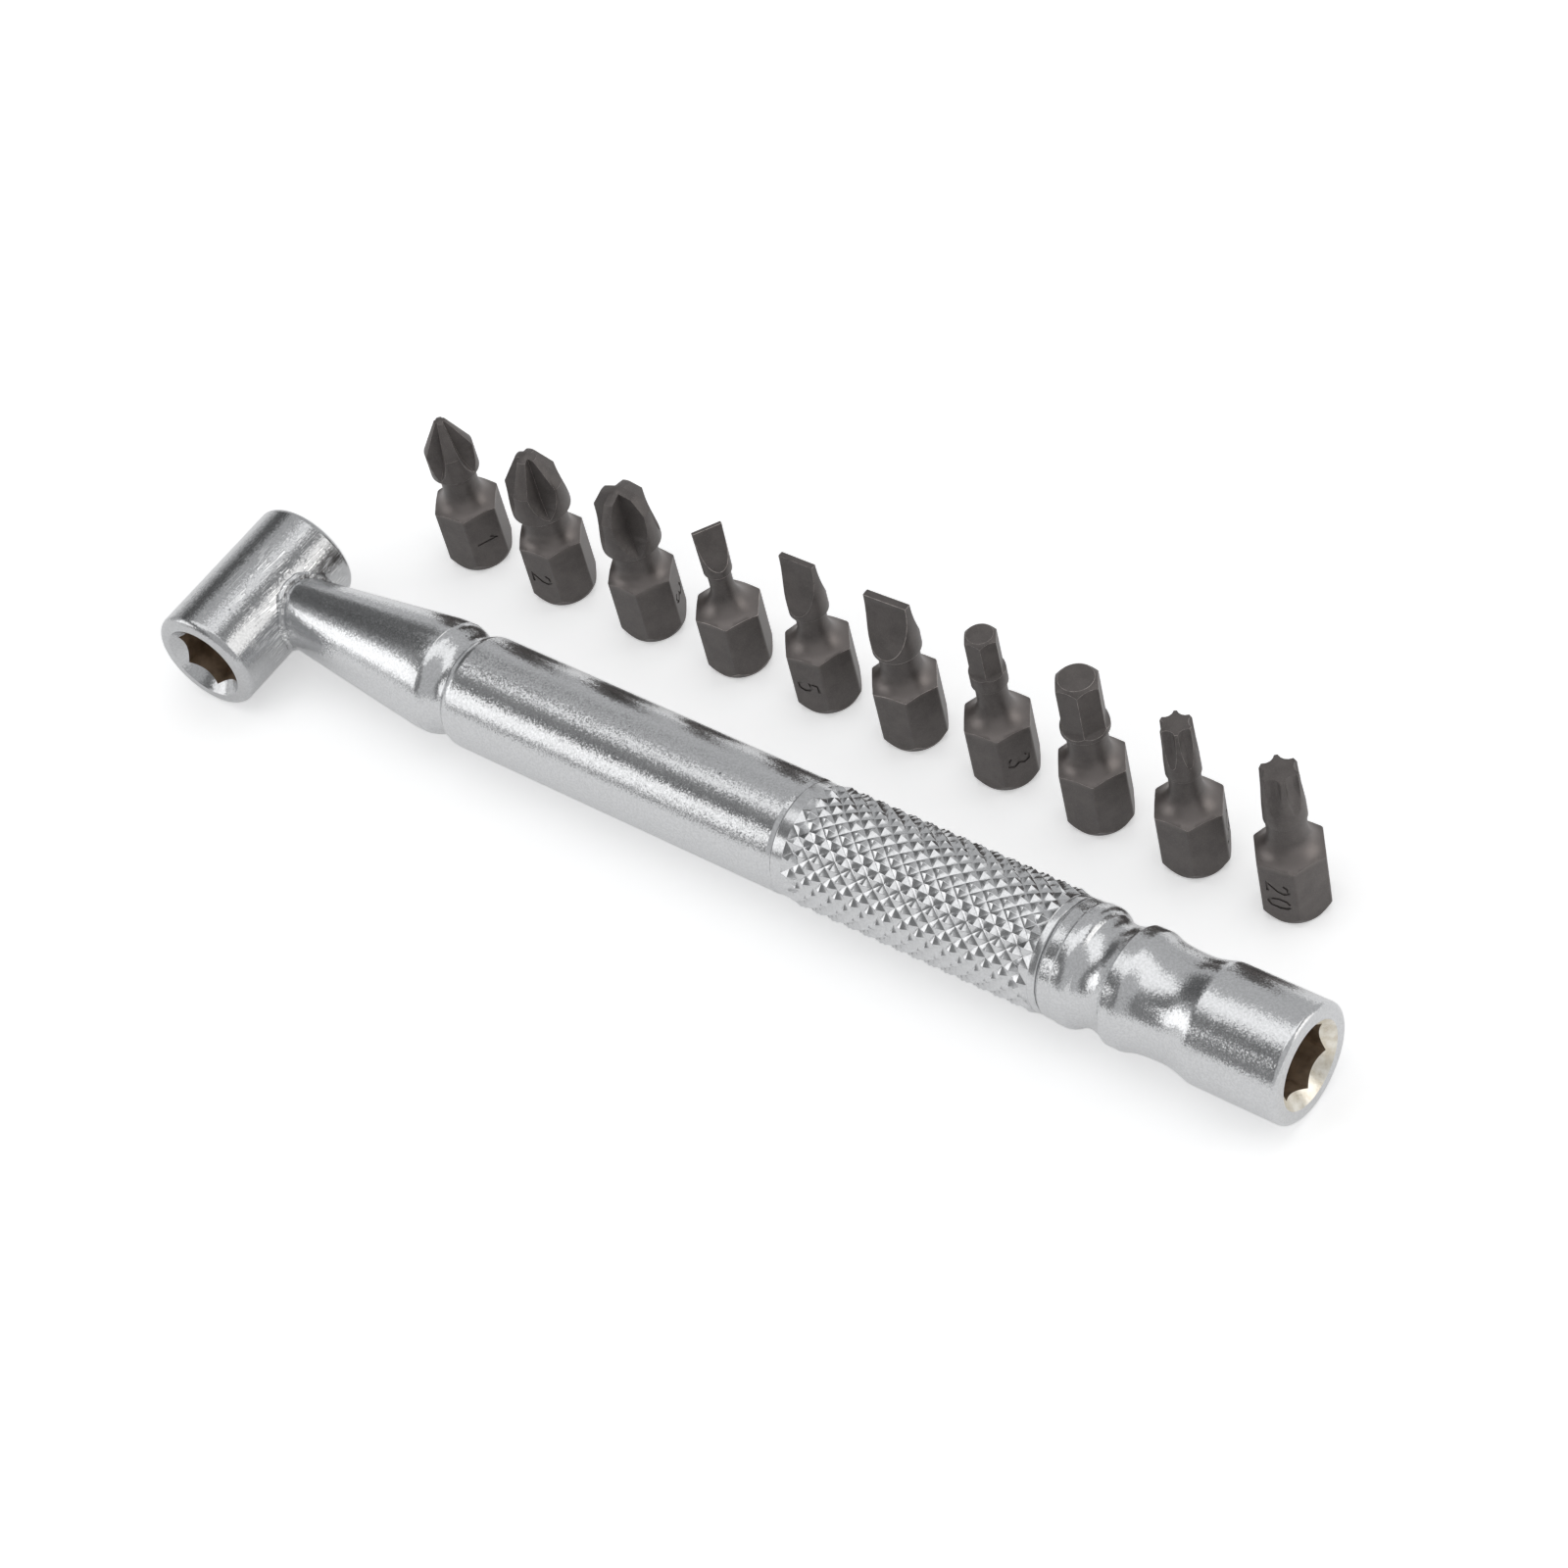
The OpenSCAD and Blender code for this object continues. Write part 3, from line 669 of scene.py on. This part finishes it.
def bake_modifiers(piece):
    """Puts the modified mesh in the place of the piece's own."""
    bpy.context.view_layer.update()
    shaped = piece.evaluated_get(bpy.context.evaluated_depsgraph_get())
    mesh = bpy.data.meshes.new_from_object(shaped)
    if len(mesh.polygons) < FACES_KEPT * len(piece.data.polygons):
        raise RuntimeError(f"{piece.name} lost faces")
    piece.modifiers.clear()
    piece.data = mesh


def piece_from_bmesh(bm, name, node, materials, smooth_degrees):
    """Makes the piece that stands for a node, rides on its body and hides the node."""
    mesh = bpy.data.meshes.new(name)
    for material in materials:
        mesh.materials.append(material)
    bm.to_mesh(mesh)
    bm.free()
    piece = bpy.data.objects.new(name, mesh)
    bpy.context.scene.collection.objects.link(piece)
    shade_by_area(piece, smooth_degrees)
    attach(piece, frame["nodes"][node]["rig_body"])
    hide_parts(node)
    return piece


def flat_facing(node, azimuth):
    """Outward direction of the shank's flat that faces nearest to a compass direction."""
    aim = Vector((math.cos(math.radians(azimuth)), math.sin(math.radians(azimuth)), 0))
    low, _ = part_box(node)
    best, best_area = None, 0.0
    for face in frame["nodes"][node].data.polygons:
        upright = abs(face.normal.z) < FLAT_LEAN and face.center.z < low.z + FLAT_TOP
        near = face.normal.dot(aim) > FLAT_NEAR
        if upright and near and face.area > best_area:
            best, best_area = face.normal.copy(), face.area
    if best is None:
        raise RuntimeError(f"no flat of {node} faces {azimuth} degrees")
    return best


def digit_solids(text, height, stroke, depth):
    """Flat ribbons along the digits' strokes, in the plane of x and y, as one mesh."""
    bm = bmesh.new()
    wide = height * DIGIT_WIDTH
    step = wide + height * DIGIT_GAP
    start = -(step * (len(text) - 1) + wide) / 2
    for place, digit in enumerate(text):
        points = [
            Vector((start + step * place + x * wide, (y - 0.5) * height, 0))
            for x, y in DIGITS[digit]
        ]
        sides = []
        for i, point in enumerate(points):
            before = (point - points[i - 1]).normalized() if i else None
            after = (points[i + 1] - point).normalized() if i < len(points) - 1 else None
            next_way = after or before
            along = ((before or after) + next_way).normalized()
            out = Vector((-along.y, along.x, 0))
            lean = max(LEAST_MITRE, out.dot(Vector((-next_way.y, next_way.x, 0))))
            sides.append((point + out * stroke / 2 / lean, point - out * stroke / 2 / lean))
        rings = []
        for left, right in sides:
            rings.append([
                bm.verts.new(corner + Vector((0, 0, z)))
                for corner, z in ((left, depth), (right, depth), (right, -depth), (left, -depth))
            ])
        for here, there in zip(rings, rings[1:]):
            for k in range(4):
                bm.faces.new((here[k], there[k], there[(k + 1) % 4], here[(k + 1) % 4]))
        bm.faces.new(rings[0])
        bm.faces.new(reversed(rings[-1]))
    bmesh.ops.recalc_face_normals(bm, faces=bm.faces)
    mesh = bpy.data.meshes.new("digits")
    bm.to_mesh(mesh)
    bm.free()
    return mesh


def stamp_number(piece, node, text, azimuth, settings):
    """Cuts a number into one flat, reading downwards."""
    low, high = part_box(node)
    centre = Vector(((low.x + high.x) / 2, (low.y + high.y) / 2, 0))
    out = flat_facing(node, azimuth)
    reach = max(v.co.dot(out) for v in frame["nodes"][node].data.vertices)
    solid = bpy.data.objects.new(f"{node}_stamp", digit_solids(
        text, settings.stamp_height, settings.stamp_stroke, settings.stamp_depth
    ))
    bpy.context.scene.collection.objects.link(solid)
    down, up = Vector((0, 0, -1)), Vector((0, 0, 1)).cross(out)
    spot = centre + out * (reach - centre.dot(out))
    spot.z = low.z + STAMP_MIDDLE
    turn = Matrix((down, up, out)).transposed().to_4x4()
    solid.matrix_world = Matrix.Translation(spot) @ turn
    cut = piece.modifiers.new("stamp", "BOOLEAN")
    cut.operation = "DIFFERENCE"
    cut.solver = "EXACT"
    cut.use_self = True
    cut.object = solid
    bake_modifiers(piece)
    shade_by_area(piece, BIT_SMOOTH)
    bpy.data.objects.remove(solid)


def mouth_cone(start, out, materials):
    """Solid cone that opens out of a mouth, with the chamfer's material slot on its sides, which on
    the nose holds the painted highlight.
    """
    bm = bmesh.new()
    turn = out.to_track_quat("Z", "X")
    rings = []
    for radius, height in (
        (MOUTH_RADIUS + MOUTH_OVER, MOUTH_OVER), (MOUTH_ROOT, MOUTH_ROOT - MOUTH_RADIUS),
    ):
        ring = []
        for step in range(MOUTH_STEPS):
            angle = 2 * math.pi * step / MOUTH_STEPS
            point = Vector((radius * math.cos(angle), radius * math.sin(angle), height))
            ring.append(bm.verts.new(start + turn @ point))
        rings.append(ring)
    wide, slim = rings
    for i in range(MOUTH_STEPS):
        following = (i + 1) % MOUTH_STEPS
        bm.faces.new((wide[i], wide[following], slim[following], slim[i]))
    bm.faces.new(wide)
    bm.faces.new(reversed(slim))
    bmesh.ops.recalc_face_normals(bm, faces=bm.faces)
    for face in bm.faces:
        face.material_index = CHAMFER_SLOT
    mesh = bpy.data.meshes.new("mouth")
    for material in materials:
        mesh.materials.append(material)
    bm.to_mesh(mesh)
    bm.free()
    return mesh


def cut_mouth(piece, start, out):
    """Cuts a mouth's cone on to the middle of the hexagon's flats, which scallops its edge."""
    cone = bpy.data.objects.new("mouth", mouth_cone(start, out, piece.data.materials))
    bpy.context.scene.collection.objects.link(cone)
    cut = piece.modifiers.new("mouth", "BOOLEAN")
    cut.operation = "DIFFERENCE"
    cut.solver = "EXACT"
    cut.object = cone
    bake_modifiers(piece)
    shade_by_area(piece, BODY_SMOOTH)
    bpy.data.objects.remove(cone)


def mark_bore(bm, node):
    """Gives a socket's walls and its mouth's chamfer slots of their own."""
    if node not in BORES:
        return
    start, out = BORES[node]
    for face in bm.faces:
        offset = face.calc_center_median() - start
        depth = -offset.dot(out)
        beside = (offset + out * depth).length
        if depth < BORE_RIM or depth > BORE_DEPTH or beside > BORE_REACH:
            continue
        wall = abs(face.normal.dot(out)) < WALL_LEAN
        face.material_index = BORE_SLOT if wall or depth > CHAMFER_DEPTH else CHAMFER_SLOT


class DRIVER_OT_body(bpy.types.Operator):
    """Dresses the bar, the nose, the cross tube, the weld and the magnets"""

    bl_idname = "driver.body"
    bl_label = "Driver body"

    def execute(self, context):
        settings = context.scene.driver_chrome
        chrome = chrome_material(settings, "satin_chrome_finish")
        filed = chrome_material(settings, "filed_chrome_finish", filed=True)
        bore = socket_material()
        chamfer = chamfer_highlight_material()
        finishes = {
            "handle_bar": [chrome], "nose_socket": [chrome, bore, chamfer],
            "cross_socket": [filed, bore, filed], "weld_bead": [filed],
        }
        for node, finish in finishes.items():
            bm = node_bmesh(node)
            mark_bore(bm, node)
            piece = piece_from_bmesh(bm, f"dressed_{node}", node, finish, BODY_SMOOTH)
            if node in BORES:
                cut_mouth(piece, *BORES[node])
            if node in TURNED:
                shade_as_turned(piece, *TURNED[node], RING_SMOOTH)
        nickel = magnet_material()
        for node in ("nose_magnet", "cross_magnet"):
            slot = frame["nodes"][node].material_slots[0]
            slot.link = "OBJECT"
            slot.material = nickel
        return {"FINISHED"}


class DRIVER_OT_grip(bpy.types.Operator):
    """Dresses the knurled grip, with the tops and grooves of its knurl blunted"""

    bl_idname = "driver.grip"
    bl_label = "Knurled grip"

    def execute(self, context):
        chrome = chrome_material(
            context.scene.driver_chrome, "knurl_chrome_finish", grain_share=0.3
        )
        bm = node_bmesh("grip_sleeve")
        bevel_edges(bm, KNURL_BLUNT, KNURL_SHARP)
        piece_from_bmesh(bm, "knurled_grip", "grip_sleeve", [chrome], KNURL_SMOOTH)
        return {"FINISHED"}


class DRIVER_OT_bits(bpy.types.Operator):
    """Dresses the ten bits, with worn edges and plain stamped numbers"""

    bl_idname = "driver.bits"
    bl_label = "Bits"

    def execute(self, context):
        settings = context.scene.driver_bits
        steel = bit_material(settings)
        for node in BIT_NODES:
            bm = node_bmesh(node)
            round_upright_edges(bm, settings.corner, UPRIGHT_TOP)
            bevel_edges(bm, settings.edge, BIT_SHARP)
            piece = piece_from_bmesh(bm, f"dressed_{node}", node, [steel], BIT_SMOOTH)
            if node in STAMPS:
                text, azimuth = STAMPS[node]
                stamp_number(piece, node, text, azimuth, settings)
        return {"FINISHED"}


def soft_lamp(name, direction, across, size, radiance, tint, distance, aim):
    """A soft box that faces the object, hidden from the camera; across is its width's way."""
    data = bpy.data.lights.new(name, "AREA")
    data.shape = "RECTANGLE"
    data.size, data.size_y = size
    data.energy = radiance * math.pi * size[0] * size[1]
    data.color = tint
    lamp = bpy.data.objects.new(name, data)
    bpy.context.scene.collection.objects.link(lamp)
    out = Vector(direction).normalized()
    wide = Vector(across)
    wide = (wide - out * wide.dot(out)).normalized()
    turn = Matrix((wide, out.cross(wide), out)).transposed().to_4x4()
    lamp.matrix_world = Matrix.Translation(aim + out * distance) @ turn
    lamp.visible_camera = False


# Soft boxes: direction, way of the width, width and height in metres, radiance, tint
LAMPS = {
    "front_left_lamp": ((-0.688, -0.635, 0.35), (0.68, -0.73, 0), (1.2, 0.95), 1.27, (1, 1, 1)),
    "top_lamp": ((-0.1, 0.05, 0.99), (0.74, 0.67, 0), (2.4, 1.45), 0.72, (1, 1, 1)),
    "right_lamp": ((0.82, 0.46, 0.36), (-0.49, 0.87, 0), (1.4, 1.4), 1.0, (1, 0.98, 0.95)),
}

# Dark cards in the studio: direction, inner and outer spread in degrees, share of light left
CARDS = (
    ((-0.78, 0.38, 0.48), 6, 20, 0.22),
    ((-0.76, 0.02, 0.65), 6, 19, 0.22),
    ((-0.40, -0.80, 0.40), 16, 30, 0.4),
    ((-0.52, -0.42, 0.74), 7, 20, 0.42),
    ((0.46, 0.41, 0.79), 4, 14, 0.5),
)

# Light of the studio's walls, and what the floor adds where the camera or a reflection sees it
SKY_LEVEL = 0.6
FLOOR_SEEN = 0.4
FLOOR_REFLECTED = 0.24

# Tint of the studio's walls, width of the paper's fibres and its two tints
SKY_TINT = (0.98, 0.99, 1, 1)
FIBRE = 4 * MM
PAPER_TINTS = ((0.92, 0.92, 0.92, 1), (0.94, 0.94, 0.94, 1))

# Camera's sensor in millimetres, nearest distance, place and the ways of its right, top and back
SENSOR = 36
CAMERA_NEAREST = 0.01
CAMERA_PLACE = (0.199717, -0.174527, 0.28569)
CAMERA_RIGHT = (0.78569, 0.59055, -0.18422)
CAMERA_TOP = (-0.34886, 0.66891, 0.6564)
CAMERA_BACK = (0.51086, -0.45146, 0.73158)


def sky_world():
    """A grey studio with darker cards, white where the camera sees it."""
    world = bpy.data.worlds.new("studio")
    world.use_nodes = True
    bpy.context.scene.world = world
    tree = ShaderTree(world.node_tree)
    direction = tree.node("ShaderNodeTexCoord").outputs["Generated"]
    level = SKY_LEVEL
    for centre, inner, outer, darkest in CARDS:
        dot = tree.node(
            "ShaderNodeVectorMath", {0: direction, 1: Vector(centre).normalized()},
            operation="DOT_PRODUCT",
        ).outputs["Value"]
        shade = tree.between(
            dot, math.cos(math.radians(outer)), math.cos(math.radians(inner)), 1, darkest
        )
        level = tree.math("MULTIPLY", shade, level)
    grey = tree.node("ShaderNodeBackground", {"Color": SKY_TINT, "Strength": level})
    white = tree.node("ShaderNodeBackground", {"Color": (1, 1, 1, 1), "Strength": 1.0})
    seen = tree.node("ShaderNodeLightPath").outputs["Is Camera Ray"]
    mix = tree.node("ShaderNodeMixShader", {0: seen, 1: grey.outputs[0], 2: white.outputs[0]})
    tree.node("ShaderNodeOutputWorld", {"Surface": mix.outputs[0]})


def floor_material():
    """Pale matte paper, lifted to white where the camera or a reflection sees it."""
    material, tree = new_material("floor_paper")
    place = tree.node("ShaderNodeTexCoord").outputs["Object"]
    fibre = tree.noise(place, FIBRE, 3, 0.5)
    colour = tree.mix_colour(fibre, *PAPER_TINTS)
    path = tree.node("ShaderNodeLightPath").outputs
    glossy = tree.math("MULTIPLY", path["Is Glossy Ray"], FLOOR_REFLECTED)
    direct = tree.math("MULTIPLY", path["Is Camera Ray"], FLOOR_SEEN)
    seen = tree.math("MAXIMUM", direct, glossy)
    paper = tree.node("ShaderNodeBsdfDiffuse", {"Color": colour})
    glow = tree.node("ShaderNodeEmission", {"Strength": seen})
    both = tree.node("ShaderNodeAddShader", {0: paper.outputs[0], 1: glow.outputs[0]})
    tree.node("ShaderNodeOutputMaterial", {"Surface": both.outputs[0]})
    return material


class DRIVER_OT_stage(bpy.types.Operator):
    """Makes the pale floor, the soft lamps and the camera"""

    bl_idname = "driver.stage"
    bl_label = "Stage"

    def execute(self, context):
        settings = context.scene.driver_studio
        bm = bmesh.new()
        bmesh.ops.create_grid(bm, x_segments=1, y_segments=1, size=settings.floor_size / 2)
        mesh = bpy.data.meshes.new("floor")
        bm.to_mesh(mesh)
        bm.free()
        mesh.materials.append(floor_material())
        floor = bpy.data.objects.new("floor", mesh)
        context.scene.collection.objects.link(floor)

        aim = (CAD_BOX[0] + CAD_BOX[1]) / 2
        for name, lamp in LAMPS.items():
            soft_lamp(name, *lamp, settings.lamp_distance, aim)
        sky_world()

        view = bpy.data.cameras.new("camera")
        view.sensor_width = SENSOR
        view.lens = settings.lens
        view.clip_start = CAMERA_NEAREST
        camera = bpy.data.objects.new("camera", view)
        context.scene.collection.objects.link(camera)
        turn = Matrix((CAMERA_RIGHT, CAMERA_TOP, CAMERA_BACK)).transposed().to_4x4()
        camera.matrix_world = Matrix.Translation(CAMERA_PLACE) @ turn
        context.scene.camera = camera
        context.scene.view_settings.view_transform = "Standard"
        return {"FINISHED"}


class DRIVER_PT_panel(bpy.types.Panel):
    """Lists the steps that dress the driver"""

    bl_label = "Offset screwdriver"
    bl_idname = "DRIVER_PT_panel"
    bl_space_type = "VIEW_3D"
    bl_region_type = "UI"
    bl_category = "Driver"

    def draw(self, context):
        for step in STEPS:
            self.layout.operator(step.bl_idname)


STEPS = (DRIVER_OT_body, DRIVER_OT_grip, DRIVER_OT_bits, DRIVER_OT_stage)
CLASSES = (ChromeSettings, BitSettings, StudioSettings) + STEPS + (DRIVER_PT_panel,)


def register():
    for cls in CLASSES:
        bpy.utils.register_class(cls)
    bpy.types.Scene.driver_chrome = PointerProperty(type=ChromeSettings)
    bpy.types.Scene.driver_bits = PointerProperty(type=BitSettings)
    bpy.types.Scene.driver_studio = PointerProperty(type=StudioSettings)


def unregister():
    del bpy.types.Scene.driver_studio
    del bpy.types.Scene.driver_bits
    del bpy.types.Scene.driver_chrome
    for cls in reversed(CLASSES):
        bpy.utils.unregister_class(cls)


def main():
    register()
    bpy.ops.driver.body()
    bpy.ops.driver.grip()
    bpy.ops.driver.bits()
    bpy.ops.driver.stage()


if __name__ == "__main__":
    main()
